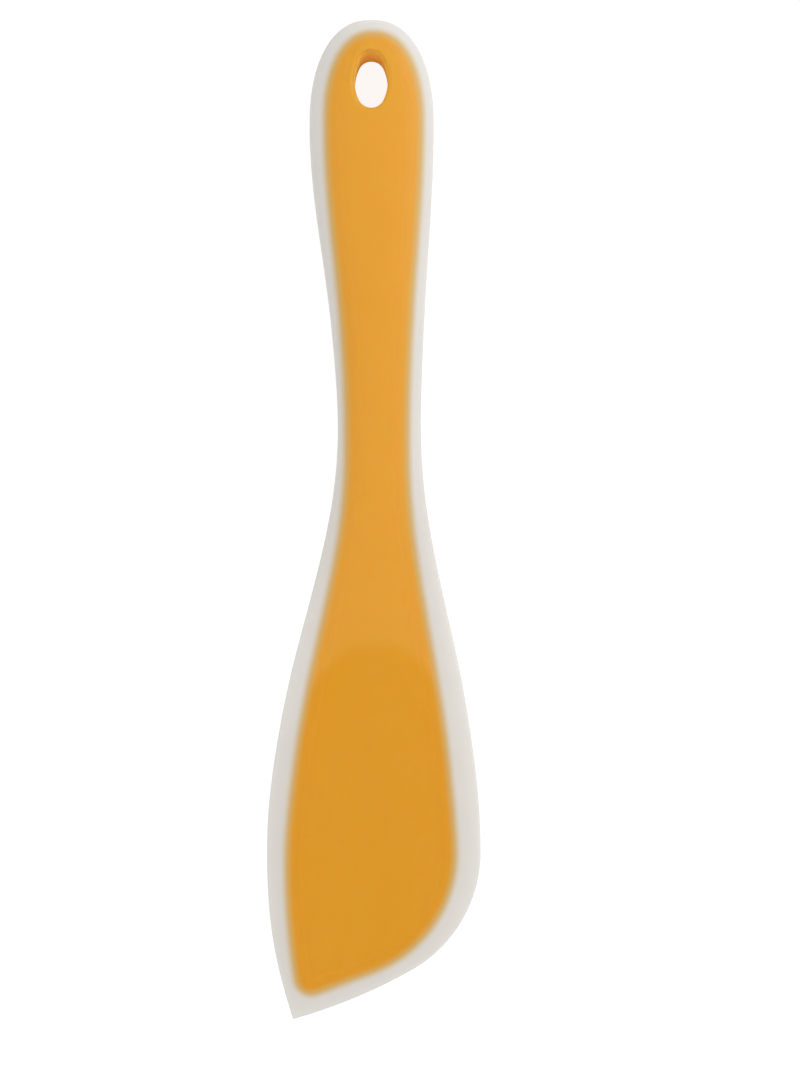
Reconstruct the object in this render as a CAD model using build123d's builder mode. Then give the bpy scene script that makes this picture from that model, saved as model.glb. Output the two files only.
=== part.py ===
"""A silicone spatula: a stiff moulded core with a frosted silicone skin moulded round it.

The tool is drawn with the tip of its blade at y = 0 and the end of its handle at
y = tool_length, level with its own middle plane, and is laid on its back at the end.
Left and right are as seen from above with the handle away from the viewer. Lengths are in mm.
"""

import os
from dataclasses import dataclass
from math import cos, radians, sin

from build123d import *

os.makedirs("parts", exist_ok=True)

# Places along the tool, measured from the tip of the blade
tool_length = 285.0
swell_from_tip = 255.0
neck_from_tip = 168.0
shoulder_from_tip = 48.0

# Widths of the skin, and how far its middle stands to the right of the blade's
grip_width = 35.3
neck_width = 23.7
blade_width = 61.2
grip_shift = -0.6
neck_shift = 1.6

# Thicknesses: the oval handle, the flat blade, and the thin edge that the blade tapers to
grip_thickness = 12.4
neck_thickness = 9.8
blade_thickness = 4.4
edge_thickness = 1.2
edge_taper = 6.5
skin_wall = 1.0

# The working edge's own flat bevels: where they start inside the slant, and how steep they are
bevel_width = 6.9
bevel_degrees = 12.5

# The slanted working edge: the tip's side, and the bend where it curls up to the shoulder
tip_offset = -23.2
bend_offset = 10.7
bend_from_tip = 14.0

# The core, seen from above inside the skin
core_grip_width = 27.6
core_neck_width = 16.8
core_blade_width = 47.8
core_length_gap = 3.3
core_grip_shift = 0.0
core_neck_shift = 0.8
core_blade_shift = -0.8
core_lag = 5.7
core_tip_offset = -21.3
core_tip_from_tip = 6.1
core_bend_offset = -0.7
core_bend_from_tip = 14.0
core_corner_radius = 4.5
core_edge_radius = 0.9
core_tuck = 2.0

# The hanging hole, an oval of four arcs, and its rounded lips
hole_from_tip = 266.9
hole_width = 9.3
hole_height = 14.8
hole_end_radius = 3.8
skin_lip_radius = 1.9
core_lip_radius = 1.3

# The handle from its swell down to the neck: how far above the neck, as a share of the swell's
# height, then what share of the growth in width and in thickness is there
swell_shares = [(1.0, 1.0, 1.0), (0.73, 0.79, 1.0), (0.46, 0.38, 0.85), (0.2, 0.09, 0.4), (0.0, 0.0, 0.0)]
# From the neck down into the blade: how far down, as a share of the way to the shoulder, what
# share of the growth in width is there, what share of the loss in thickness is still to come,
# how much of the taper's width the handle keeps inside the outline, and its sides' roundness
root_shares = [
    (0.14, 0.06, 0.89, 0.0, 0.34),
    (0.29, 0.23, 0.59, 0.0, 0.38),
    (0.43, 0.44, 0.24, 0.15, 0.43),
    (0.52, 0.58, 0.02, 0.46, 0.45),
    (0.62, 0.72, -0.18, 0.85, 0.46),
]
# The blade's sides: how far down from the neck, and what share of the growth in width is there
flare_shares = [(0.14, 0.06), (0.29, 0.23), (0.43, 0.44), (0.57, 0.655), (0.71, 0.825), (0.86, 0.955)]
# How far inside the outline the blade's first two points lie, hidden in the neck
hidden_shares = [0.3, 0.06]
# The left side below the shoulder: how high above the tip, and how far in towards the tip
fall_shares = [(0.5, 0.21), (0.18, 0.66)]
# Sections of the round end, as shares of the way from the swell up to the end of the handle
end_shares = [0.996, 0.985, 0.955, 0.9, 0.8, 0.64, 0.42, 0.2]
# The side arcs of the handle's oval, as a share of its thickness
side_share = 0.33
# The round end's superellipse seen from above, and how late it rounds off seen from the side
end_squareness = 2.3
end_bluntness = 12


@dataclass
class Plan:
    """One body seen from above: its widths and middles, its blade's corners, and its depth."""

    grip: float
    neck: float
    blade: float
    end: float
    grip_middle: float
    neck_middle: float
    blade_middle: float
    tip: tuple
    bend: tuple
    depth: float
    lag: float
    tuck: float


skin_plan = Plan(
    grip=grip_width,
    neck=neck_width,
    blade=blade_width,
    end=tool_length,
    grip_middle=grip_shift,
    neck_middle=neck_shift,
    blade_middle=0,
    tip=(tip_offset, 0),
    bend=(bend_offset, bend_from_tip),
    depth=0,
    lag=0,
    tuck=edge_taper,
)
core_plan = Plan(
    grip=core_grip_width,
    neck=core_neck_width,
    blade=core_blade_width,
    end=tool_length - core_length_gap,
    grip_middle=core_grip_shift,
    neck_middle=core_neck_shift,
    blade_middle=core_blade_shift,
    tip=(core_tip_offset, core_tip_from_tip),
    bend=(core_bend_offset, core_bend_from_tip),
    depth=skin_wall,
    lag=core_lag,
    tuck=core_tuck,
)


def between(start, end, share):
    """The value that lies this share of the way from start to end."""
    return start + share * (end - start)


def across(distance):
    """The plane square across the tool at this distance from the tip, with up as its y."""
    return Plane(origin=(0, distance, 0), x_dir=(1, 0, 0), z_dir=(0, -1, 0))


def oval(plane, middle, width, thickness, side):
    """A four-arc oval: crowned top and bottom faces that run into side arcs of radius side."""
    reach = width / 2 - side
    high = thickness / 2
    crown = (reach**2 + high**2 - side**2) / (thickness - 2 * side)
    meet_across = reach * crown / (crown - side)
    meet_up = side * (crown - high) / (crown - side)
    left, right = middle - meet_across, middle + meet_across
    with BuildSketch(plane) as face:
        with BuildLine():
            ThreePointArc((left, meet_up), (middle, high), (right, meet_up))
            ThreePointArc((right, meet_up), (middle + width / 2, 0), (right, -meet_up))
            ThreePointArc((right, -meet_up), (middle, -high), (left, -meet_up))
            ThreePointArc((left, -meet_up), (middle - width / 2, 0), (left, meet_up))
        make_face()
    return face.sketch


def end_section(plan, up):
    """The oval this share of the way from the swell up to the round end.

    Seen from above the end is a superellipse, so the width falls as 1 - up^n to the power 1/n.
    Seen from the side it stays thick for longer and then rounds off.
    """
    distance = between(swell_from_tip, plan.end, up / end_shares[0])
    width = plan.grip * (1 - up**end_squareness) ** (1 / end_squareness)
    thickness = (grip_thickness - 2 * plan.depth) * (1 - up**end_bluntness) ** 0.5
    return oval(across(distance), plan.grip_middle, width, thickness, side_share * thickness)


def handle_sections(plan):
    """The ovals of the handle, from its round end to where it has sunk into the blade."""
    sections = []
    for up in end_shares:
        sections.append(end_section(plan, up))
    for up, wider, thicker in swell_shares:
        distance = between(neck_from_tip, swell_from_tip, up)
        middle = between(plan.neck_middle, plan.grip_middle, wider)
        width = between(plan.neck, plan.grip, wider)
        thickness = between(neck_thickness, grip_thickness, thicker) - 2 * plan.depth
        sections.append(oval(across(distance), middle, width, thickness, side_share * thickness))
    for down, wider, thicker, tucked, round_share in root_shares:
        distance = between(neck_from_tip, shoulder_from_tip, down) - plan.lag
        middle = between(plan.neck_middle, plan.blade_middle, wider)
        width = between(plan.neck, plan.blade, wider) - 2 * tucked * plan.tuck
        thickness = between(blade_thickness, neck_thickness, thicker) - 2 * plan.depth
        sections.append(oval(across(distance), middle, width, thickness, round_share * thickness))
    return sections


def side_points(plan, side):
    """The blade's edge from inside the neck to its widest place. Side is -1 left, 1 right."""
    points = []
    hidden = hidden_shares + [0] * (len(flare_shares) - len(hidden_shares))
    for (down, wider), inside in zip(flare_shares, hidden):
        distance = between(neck_from_tip, shoulder_from_tip, down) - plan.lag
        middle = between(plan.neck_middle, plan.blade_middle, wider)
        half = between(plan.neck, plan.blade, wider) / 2 - inside * plan.tuck
        points.append(Vector(middle + side * half, distance))
    points.append(Vector(plan.blade_middle + side * plan.blade / 2, shoulder_from_tip))
    return points


def blade_outline(plan):
    """The blade seen from above: flared sides, a round shoulder, a slanted edge and a tip."""
    left, right = side_points(plan, -1), side_points(plan, 1)
    widest, tip = left[-1], Vector(*plan.tip)
    for up, inward in fall_shares:
        left.append(Vector(between(widest.X, tip.X, inward), between(tip.Y, widest.Y, up)))
    left.append(tip)
    with BuildSketch() as face:
        with BuildLine():
            Spline(left)
            flank = Spline(right, tangents=[right[1] - right[0], (0, -1)])
            shoulder = TangentArc(flank @ 1, plan.bend, tangent=flank % 1)
            TangentArc(shoulder @ 1, tip, tangent=shoulder % 1)
            Line(left[0], right[0])
        make_face()
    return face.sketch


def hanging_hole():
    """The hanging hole's oval, on the middle plane near the end of the handle."""
    along = Plane(origin=(grip_shift, hole_from_tip, 0), x_dir=(0, 1, 0), z_dir=(0, 0, 1))
    return oval(along, 0, hole_height, hole_width, hole_end_radius)


with BuildPart() as nylon_core:
    with BuildSketch() as plate:
        add(blade_outline(core_plan))
        fillet(plate.vertices().sort_by(Axis.Y)[0], core_corner_radius)
    extrude(amount=blade_thickness / 2 - skin_wall, both=True)
    for flat in (faces().sort_by(Axis.Z)[-1], faces().sort_by(Axis.Z)[0]):
        fillet(flat.edges(), core_edge_radius)
    loft(sections=handle_sections(core_plan))
    extrude(hanging_hole(), amount=grip_thickness, both=True, mode=Mode.SUBTRACT)
    hole_wall = faces(Select.LAST).filter_by(GeomType.CYLINDER)
    fillet(hole_wall.edges().filter_by(Axis.Z, reverse=True), core_lip_radius)

with BuildPart() as silicone_skin:
    extrude(blade_outline(skin_plan), amount=blade_thickness / 2, both=True)
    taper_depth = (blade_thickness - edge_thickness) / 2
    for flat in (faces().sort_by(Axis.Z)[-1], faces().sort_by(Axis.Z)[0]):
        chamfer(flat.edges(), length=edge_taper, length2=taper_depth, reference=flat)
    slant = Vector(*skin_plan.bend) - Vector(*skin_plan.tip)
    inward = Vector(0, 0, 1).cross(slant).normalized()
    for side in (1, -1):
        start = Vector(*skin_plan.tip) + inward * bevel_width + Vector(0, 0, side * blade_thickness / 2)
        outward = Vector(0, 0, side * cos(radians(bevel_degrees))) - inward * sin(radians(bevel_degrees))
        split(bisect_by=Plane(origin=start, x_dir=slant, z_dir=outward), keep=Keep.BOTTOM)
    loft(sections=handle_sections(skin_plan))
    extrude(hanging_hole(), amount=grip_thickness, both=True, mode=Mode.SUBTRACT)
    hole_wall = faces(Select.LAST).filter_by(GeomType.CYLINDER)
    fillet(hole_wall.edges().filter_by(Axis.Z, reverse=True), skin_lip_radius)
    add(nylon_core.part, mode=Mode.SUBTRACT)

# Laid on its back, the tool stands on the belly of its handle and along the straight line where
# the blade's flat underside meets the working edge's bevel
belly_up, belly_wider, belly_thicker = swell_shares[2]
belly = Vector(
    between(neck_shift, grip_shift, belly_wider),
    between(neck_from_tip, swell_from_tip, belly_up),
    -between(neck_thickness, grip_thickness, belly_thicker) / 2,
)
underside = silicone_skin.faces().filter_by(Plane.XY).sort_by(Axis.Z)[0]
tip_corner, bend_corner = [Vector(corner) for corner in underside.vertices().sort_by(Axis.Y)[:2]]
upright = (bend_corner - tip_corner).cross(belly - tip_corner)
table = Plane(origin=tip_corner, x_dir=(1, 0, 0), z_dir=upright)
for piece in (nylon_core, silicone_skin):
    piece.part.move(table.location.inverse())
lowest = silicone_skin.part.bounding_box()
for piece in (nylon_core, silicone_skin):
    piece.part.move(Location((-lowest.center().X, -lowest.center().Y, -lowest.min.Z)))

nylon_core.part.label = "nylon_core"
export_step(nylon_core.part, "parts/nylon_core.step")

silicone_skin.part.label = "silicone_skin"
export_step(silicone_skin.part, "parts/silicone_skin.step")
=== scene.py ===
"""The looks of a silicone spatula: a stiff orange core inside a frosted silicone skin.

Shapes are worked out in millimetres in the tool's own level frame: the tip of the blade at
y = 0, the handle towards +y and the middle plane at z = 0. Left and right are as seen from
above with the handle away from the viewer. The finished pieces are laid down on the tool's
three feet and written in metres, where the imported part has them.
"""

import logging
import math
from dataclasses import dataclass, field
from enum import Enum

import bmesh
import bpy
import numpy as np
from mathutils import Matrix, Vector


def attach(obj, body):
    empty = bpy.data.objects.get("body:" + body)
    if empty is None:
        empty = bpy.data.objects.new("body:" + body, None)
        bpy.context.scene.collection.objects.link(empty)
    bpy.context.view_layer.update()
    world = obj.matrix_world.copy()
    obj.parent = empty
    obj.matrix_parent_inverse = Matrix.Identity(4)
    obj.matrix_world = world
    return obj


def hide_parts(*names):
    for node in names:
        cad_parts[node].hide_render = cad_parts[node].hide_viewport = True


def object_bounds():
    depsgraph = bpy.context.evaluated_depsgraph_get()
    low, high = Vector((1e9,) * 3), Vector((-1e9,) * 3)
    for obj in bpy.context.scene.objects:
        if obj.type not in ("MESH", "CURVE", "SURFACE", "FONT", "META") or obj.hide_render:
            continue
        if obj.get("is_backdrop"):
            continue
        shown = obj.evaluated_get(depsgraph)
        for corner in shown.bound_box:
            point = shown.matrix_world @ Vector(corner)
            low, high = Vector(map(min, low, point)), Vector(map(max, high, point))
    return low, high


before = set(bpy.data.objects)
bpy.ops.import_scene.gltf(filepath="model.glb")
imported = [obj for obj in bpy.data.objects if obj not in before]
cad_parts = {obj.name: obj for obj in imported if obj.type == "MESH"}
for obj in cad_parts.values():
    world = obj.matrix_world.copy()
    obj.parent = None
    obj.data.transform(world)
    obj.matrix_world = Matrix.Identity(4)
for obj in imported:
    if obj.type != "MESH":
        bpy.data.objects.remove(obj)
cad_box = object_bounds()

log = logging.getLogger("spatula")

METRES = 0.001

# Lengths in mm: what counts as nothing, and how near two vertices are to be one.
TINY = 1e-6
JOIN_WAY = 2e-4

# How many points are measured at a time, and how many each line is worked out with.
BLOCK = 3000
RIM_POINTS = 90
END_POINTS = 900
ARC_POINTS = 300
CURVE_POINTS = 400
KEPT_POINTS = 600
ROUND_POINTS = 40

# How many points from the corner the directions of its two sides are taken.
CORNER_STEP = 12

Colour = tuple[float, float, float, float]
Flat = tuple[float, float]
Socket = bpy.types.NodeSocket
Value = float | tuple | Socket
Ends = tuple[Value, Value]

WHOLE = (0.0, 1.0)
SMOOTH = "SMOOTHSTEP"
WHITE = (1.0, 1.0, 1.0, 1.0)
SQUARE = ((-1, -1), (1, -1), (1, 1), (-1, 1))


class Side(Enum):
    """A side of the tool, and its sign along x."""

    LEFT = -1
    RIGHT = 1


class Mark(Enum):
    """The measures that a mesh carries for its material: distances in mm, and the face as a share."""

    CORE_DEPTH = "core_depth"
    FACE = "face"
    HOLE_WAY = "hole_way"
    LEVEL = "level"


def painted(red: int, green: int, blue: int) -> Colour:
    """A colour written as it shows on a screen, 0 to 255, made ready for the shader.

    Each channel c is ((c + 0.055) / 1.055) to the power 2.4 once it is brought to 0 to 1.

    Args:
        red: The red channel.
        green: The green channel.
        blue: The blue channel.

    Returns:
        The linear colour with full alpha.
    """
    linear = [((channel / 255 + 0.055) / 1.055) ** 2.4 for channel in (red, green, blue)]
    return (linear[0], linear[1], linear[2], 1.0)


def eased(low: float, high: float, value: np.ndarray) -> np.ndarray:
    """A smooth step: 0 at low, 1 at high, and 3t^2 - 2t^3 between them.

    Args:
        low: Where the step starts.
        high: Where it ends; it may be the smaller of the two.
        value: The places to work it out at.

    Returns:
        The step's height at each place.
    """
    share = np.clip((value - low) / (high - low), 0.0, 1.0)
    return share * share * (3.0 - 2.0 * share)


def level_spline(stations: np.ndarray, heights: np.ndarray, places: np.ndarray) -> np.ndarray:
    """A smooth curve through given heights that is level at its first and last station.

    Cubic pieces join with equal slope and bend. At each inner station the slopes m solve
    m_before/h + 2m(1/h + 1/k) + m_after/k = 3(rise_before/h^2 + rise_after/k^2), where h and k
    are the gaps before and after it.

    Args:
        stations: Where the heights are given, rising.
        heights: The height at each station.
        places: Where the curve is wanted.

    Returns:
        The curve's height at each place.
    """
    gap = np.diff(stations)
    rise = np.diff(heights)
    count = len(stations)
    system = np.eye(count)
    target = np.zeros(count)
    inner = np.arange(1, count - 1)
    system[inner, inner - 1] = 1 / gap[:-1]
    system[inner, inner] = 2 / gap[:-1] + 2 / gap[1:]
    system[inner, inner + 1] = 1 / gap[1:]
    target[inner] = 3 * (rise[:-1] / gap[:-1] ** 2 + rise[1:] / gap[1:] ** 2)
    slope = np.linalg.solve(system, target)
    piece = np.clip(np.searchsorted(stations, places) - 1, 0, count - 2)
    width = gap[piece]
    share = np.clip((places - stations[piece]) / width, 0.0, 1.0)
    start, end = heights[piece], heights[piece + 1]
    bend = share * share * (3 - 2 * share)
    leave = share * (1 - share) ** 2 * width * slope[piece]
    arrive = share * share * (share - 1) * width * slope[piece + 1]
    return start + (end - start) * bend + leave + arrive


def resampled(path: np.ndarray, shares: np.ndarray) -> np.ndarray:
    """The points at given shares of a path's length.

    Args:
        path: The path's points, one row each.
        shares: Shares of its length, 0 to 1.

    Returns:
        One row for each share, on the straight runs between the path's points.
    """
    run = np.concatenate(([0.0], np.cumsum(np.linalg.norm(np.diff(path, axis=0), axis=1))))
    places = shares * run[-1]
    return np.stack([np.interp(places, run, path[:, axis]) for axis in (0, 1)], axis=1)


def tangent_arc(start: np.ndarray, heading: np.ndarray, end: np.ndarray, count: int) -> np.ndarray:
    """A round arc that leaves one point in a given direction and ends at another.

    The arc turns by twice the angle between its heading and its chord, about the centre that
    stands at chord^2 / (2 normal . chord) along the normal to its left.

    Args:
        start: Where it starts.
        heading: The direction it leaves in, of length 1.
        end: Where it ends.
        count: How many points it has.

    Returns:
        The arc's points, from start to end.
    """
    chord = end - start
    normal = np.array([-heading[1], heading[0]])
    centre = start + normal * (chord @ chord) / (2 * normal @ chord)
    turn = 2 * math.atan2(normal @ chord, heading @ chord)
    angle = np.linspace(0.0, turn, count)
    spoke = start - centre
    across = spoke[0] * np.cos(angle) - spoke[1] * np.sin(angle)
    along = spoke[0] * np.sin(angle) + spoke[1] * np.cos(angle)
    return centre + np.stack([across, along], axis=1)


def rotated(direction: np.ndarray, turn: float) -> np.ndarray:
    """A direction turned to the left by an angle in radians."""
    cosine, sine = math.cos(turn), math.sin(turn)
    return np.array([[cosine, -sine], [sine, cosine]]) @ direction


def way_to_runs(points: np.ndarray, line: np.ndarray) -> np.ndarray:
    """The distance from points to a line of straight runs.

    On each run the nearest place is the foot of the point, kept between the run's two ends, and
    the least of these distances counts. The points are taken a block at a time.

    Args:
        points: The points, one row each.
        line: The line's corners, one row each.

    Returns:
        The distance of each point.
    """
    start = line[:-1]
    run = np.diff(line, axis=0)
    square = np.maximum((run * run).sum(axis=1), TINY**2)
    found = []
    for block in np.array_split(points, max(1, len(points) // BLOCK)):
        offset = block[:, None, :] - start[None, :, :]
        share = np.clip((offset * run).sum(axis=2) / square, 0.0, 1.0)
        gap = offset - share[:, :, None] * run
        found.append(np.sqrt((gap * gap).sum(axis=2).min(axis=1)))
    return np.concatenate(found)


def way_to_line(points: np.ndarray, line: np.ndarray) -> np.ndarray:
    """The distance from points to a closed line: its last corner joins its first."""
    return way_to_runs(points, np.concatenate([line, line[:1]]))


def within(points: np.ndarray, line: np.ndarray) -> np.ndarray:
    """Which points lie inside a closed line.

    A ray to the right from a point inside crosses the line an odd number of times.

    Args:
        points: The points, one row each.
        line: The line's corners, one row each.

    Returns:
        True for each point inside.
    """
    here, there = line, np.roll(line, -1, axis=0)
    found = []
    for block in np.array_split(points, max(1, len(points) // BLOCK)):
        x, y = block[:, :1], block[:, 1:]
        spans = (here[:, 1] > y) != (there[:, 1] > y)
        drop = np.where(there[:, 1] == here[:, 1], 1.0, there[:, 1] - here[:, 1])
        crossing = here[:, 0] + (y - here[:, 1]) * (there[:, 0] - here[:, 0]) / drop
        found.append((spans & (crossing > x)).sum(axis=1) % 2 == 1)
    return np.concatenate(found)


@dataclass(frozen=True)
class HangingHole:
    """The hole near the handle's end: an oval of four arcs, longer along the handle."""

    middle: Flat = (-0.7, 266.9)
    length: float = 14.8
    width: float = 9.3
    end_radius: float = 3.8
    lean: float = 1.3
    lean_height: float = 4.5
    lean_reach: float = 5.0

    def rim(self, angles: np.ndarray, side: Side, wider: float = 0.0) -> np.ndarray:
        """Half of the rim, by the angle that its outward direction makes with the handle.

        A place on the rim is the centre of its arc plus the arc's radius along that direction:
        the end arcs' centres stand on the long axis, the side arcs' centres across it.

        Args:
            angles: 0 at the upper end, pi at the lower end.
            side: The half that is wanted.
            wider: How far outside the hole's wall the line runs.

        Returns:
            The rim's points, one row each.
        """
        reach = self.length / 2 - self.end_radius
        high = self.width / 2
        side_radius = (reach**2 + high**2 - self.end_radius**2) / (self.width - 2 * self.end_radius)
        drop = side_radius - high
        meet = math.atan2(drop, reach)
        upper, lower = angles < meet, angles > math.pi - meet
        along = np.where(upper, reach, np.where(lower, -reach, 0.0))
        across = np.where(upper | lower, 0.0, -drop)
        radius = np.where(upper | lower, self.end_radius, side_radius) + wider
        x = self.middle[0] + side.value * (across + radius * np.sin(angles))
        return np.stack([x, self.middle[1] + along + radius * np.cos(angles)], axis=1)

    def outline(self, wider: float = 0.0) -> np.ndarray:
        """The whole rim as a closed line, this much wider than the hole."""
        angles = np.linspace(0.0, math.pi, RIM_POINTS)
        right = self.rim(angles, Side.RIGHT, wider)
        left = self.rim(angles[1:-1], Side.LEFT, wider)[::-1]
        return np.concatenate([right, left])

    def low_point(self) -> np.ndarray:
        """The lower end of the hole, where the line down the middle of the tool starts."""
        return np.array([self.middle[0], self.middle[1] - self.length / 2])

    def leaning(self, vertices: np.ndarray) -> np.ndarray:
        """The vertices with the wall's upper end pushed out towards the handle's end.

        The push is lean x (1 - way / reach)^2, times eased shares of the height above the middle
        plane and of the way up from the hole's middle.

        Args:
            vertices: The level tool's vertices, three columns.

        Returns:
            The same vertices, moved along y near the hole's upper end.
        """
        near = np.flatnonzero(vertices[:, 1] > self.middle[1])
        x, y, z = vertices[near].T
        way = way_to_line(np.stack([x, y], axis=1), self.outline()) / self.lean_reach
        share = eased(0.0, self.lean_height, z)
        share *= eased(self.middle[1], self.middle[1] + self.length / 2, y)
        moved = vertices.copy()
        moved[near, 1] += self.lean * (1 - np.clip(way, 0.0, 1.0)) ** 2 * share
        return moved


@dataclass(frozen=True)
class Plan:
    """One body seen from above: its widths, its middle line and its blade's corners, in mm."""

    grip_width: float
    neck_width: float
    blade_width: float
    end: float
    grip_shift: float
    neck_shift: float
    blade_shift: float
    tip_corner: Flat
    bend: Flat
    tip_radius: float = 0.0
    lag: float = 0.0
    swell_from_tip: float = 255.0
    neck_from_tip: float = 168.0
    shoulder_from_tip: float = 48.0
    end_squareness: float = 2.3
    swell_shares: tuple = ((0.2, 0.09), (0.46, 0.38), (0.73, 0.79), (1.0, 1.0))
    flare_shares: tuple = (
        (0.14, 0.06),
        (0.29, 0.23),
        (0.43, 0.44),
        (0.57, 0.655),
        (0.71, 0.825),
        (0.86, 0.955),
    )
    fall_shares: tuple = ((0.5, 0.21), (0.18, 0.66))
    fall_lead: float = 24.0
    spine_start: float = 18.0
    spine_end: float = 24.0
    below_hole: float = 2.5
    straightened: float = 25.0
    crowding: float = 1.25
    hole_columns: int = 110
    handle_columns: int = 175
    blade_columns: int = 110

    def shape_at(self, distance: np.ndarray) -> tuple[np.ndarray, np.ndarray]:
        """The half width and the middle at distances from the tip, above the shoulder.

        Both are smooth curves through shares of the growth from the neck up to the swell and
        from the neck down to the shoulder. Above the swell the half width is that of a
        superellipse: 1 - t^n to the power 1/n, where t is the share of the way to the end.

        Args:
            distance: Distances from the tip.

        Returns:
            The half widths and the middles.
        """
        flare = np.array(((1.0, 1.0),) + self.flare_shares[::-1] + ((0.0, 0.0),))
        down = self.neck_from_tip - flare[:, 0] * (self.neck_from_tip - self.shoulder_from_tip)
        down[1:-1] -= self.lag
        swell = np.array(self.swell_shares)
        up = self.neck_from_tip + swell[:, 0] * (self.swell_from_tip - self.neck_from_tip)
        stations = np.concatenate([down, up])
        neck, grip, blade = self.neck_width / 2, self.grip_width / 2, self.blade_width / 2
        blade_half, grip_half = neck + flare[:, 1] * (blade - neck), neck + swell[:, 1] * (grip - neck)
        blade_way = self.neck_shift + flare[:, 1] * (self.blade_shift - self.neck_shift)
        grip_way = self.neck_shift + swell[:, 1] * (self.grip_shift - self.neck_shift)
        half = level_spline(stations, np.concatenate([blade_half, grip_half]), distance)
        middle = level_spline(stations, np.concatenate([blade_way, grip_way]), distance)
        beyond = (distance - self.swell_from_tip) / (self.end - self.swell_from_tip)
        rounding = 1 - np.clip(beyond, 0.0, 1.0) ** self.end_squareness
        return half * rounding ** (1 / self.end_squareness), middle

    def round_end(self, side: Side, low: float) -> np.ndarray:
        """The outline round the top of the handle: a quarter of a superellipse on each side.

        Args:
            side: The side that is wanted.
            low: The distance from the tip where it stops.

        Returns:
            The outline's points, from the top down.
        """
        turn = np.linspace(math.pi / 2, 0.0, END_POINTS)
        height = (self.end - self.swell_from_tip) * np.sin(turn) ** (2 / self.end_squareness)
        width = self.grip_width / 2 * np.cos(turn) ** (2 / self.end_squareness)
        path = np.stack([self.grip_shift + side.value * width, self.swell_from_tip + height], axis=1)
        return path[path[:, 1] >= low]

    def raw_fall(self, side: Side) -> np.ndarray:
        """The outline from the shoulder to the sharp corner at the tip.

        On the right it is an arc that leaves the shoulder straight down, and a second, flatter
        arc along the slanted working edge. On the left it is a smooth curve through points at
        given shares of the fall, with the place along it as the curve's parameter.

        Args:
            side: The side that is wanted.

        Returns:
            The outline's points, from the shoulder to the corner.
        """
        corner = np.array(self.tip_corner)
        shoulder_x = self.blade_shift + side.value * self.blade_width / 2
        shoulder = np.array([shoulder_x, self.shoulder_from_tip])
        if side is Side.RIGHT:
            heading = np.array([0.0, -1.0])
            bend = np.array(self.bend)
            curl = tangent_arc(shoulder, heading, bend, ARC_POINTS)
            chord = bend - shoulder
            turn = 2 * math.atan2(-heading[1] * chord[0] + heading[0] * chord[1], heading @ chord)
            slant = tangent_arc(bend, rotated(heading, turn), corner, ARC_POINTS)
            return np.concatenate([curl, slant[1:]])
        shares = np.array(self.fall_shares)
        ways = shoulder[0] + shares[:, 1] * (corner[0] - shoulder[0])
        rises = corner[1] + shares[:, 0] * (shoulder[1] - corner[1])
        above = self.shoulder_from_tip + np.array([self.fall_lead, self.fall_lead / 2])
        half, middle = self.shape_at(above)
        lead, inner = np.stack([middle - half, above], axis=1), np.stack([ways, rises], axis=1)
        knots = np.concatenate([lead, [shoulder], inner, [corner], [2 * corner - inner[-1]]])
        run = np.concatenate(([0.0], np.cumsum(np.linalg.norm(np.diff(knots, axis=0), axis=1))))
        places = np.linspace(run[len(lead)], run[-2], CURVE_POINTS)
        return np.stack([level_spline(run, knots[:, axis], places) for axis in (0, 1)], axis=1)

    def corner_frame(self) -> tuple[np.ndarray, float]:
        """The direction from the corner into the blade between its two sides, and half its angle."""
        corner = np.array(self.tip_corner)
        left, right = self.raw_fall(Side.LEFT), self.raw_fall(Side.RIGHT)
        ways = [path[-CORNER_STEP] - corner for path in (left, right)]
        units = [way / np.linalg.norm(way) for way in ways]
        inward = (units[0] + units[1]) / np.linalg.norm(units[0] + units[1])
        return inward, 0.5 * math.acos(float(units[0] @ units[1]))

    def tip(self) -> np.ndarray:
        """The blade's lowest end: the sharp corner, or the middle of its rounding."""
        inward, half_angle = self.corner_frame()
        return np.array(self.tip_corner) + inward * self.tip_radius * (1 / math.sin(half_angle) - 1)

    def fall(self, side: Side) -> np.ndarray:
        """The outline from the shoulder to the tip, with the corner rounded if it is.

        The sides are cut back by radius / tan(half angle), and half of a round arc about the
        centre at radius / sin(half angle) inside the corner closes each of them.

        Args:
            side: The side that is wanted.

        Returns:
            The outline's points, from the shoulder to the tip.
        """
        path = self.raw_fall(side)
        if self.tip_radius == 0:
            return path
        inward, half_angle = self.corner_frame()
        length = np.linalg.norm(np.diff(path, axis=0), axis=1).sum()
        cut = 1 - self.tip_radius / math.tan(half_angle) / length
        kept = resampled(path, np.linspace(0.0, cut, KEPT_POINTS))
        centre = np.array(self.tip_corner) + inward * self.tip_radius / math.sin(half_angle)
        share = np.linspace(0.0, 1.0, ROUND_POINTS)[1:, None]
        spoke = (1 - share) * (kept[-1] - centre) - share * inward * self.tip_radius
        spoke *= self.tip_radius / np.linalg.norm(spoke, axis=1, keepdims=True)
        return np.concatenate([kept, centre + spoke])

    def spine(self, shares: np.ndarray) -> np.ndarray:
        """The line down the middle of the blade, from the shoulder's level to the tip.

        It is a cubic curve with four guide points, which leaves straight down and arrives
        between the two sides of the corner.

        Args:
            shares: The curve's parameter, 0 at the shoulder's level and 1 at the tip.

        Returns:
            The line's points.
        """
        tip = self.tip()
        inward, _ = self.corner_frame()
        start = np.array([self.blade_shift, self.shoulder_from_tip])
        guides = [start, start - np.array([0.0, self.spine_start]), tip + self.spine_end * inward, tip]
        t = shares[:, None]
        weights = [(1 - t) ** 3, 3 * t * (1 - t) ** 2, 3 * t * t * (1 - t), t**3]
        return sum(weight * guide for weight, guide in zip(weights, guides))

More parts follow.
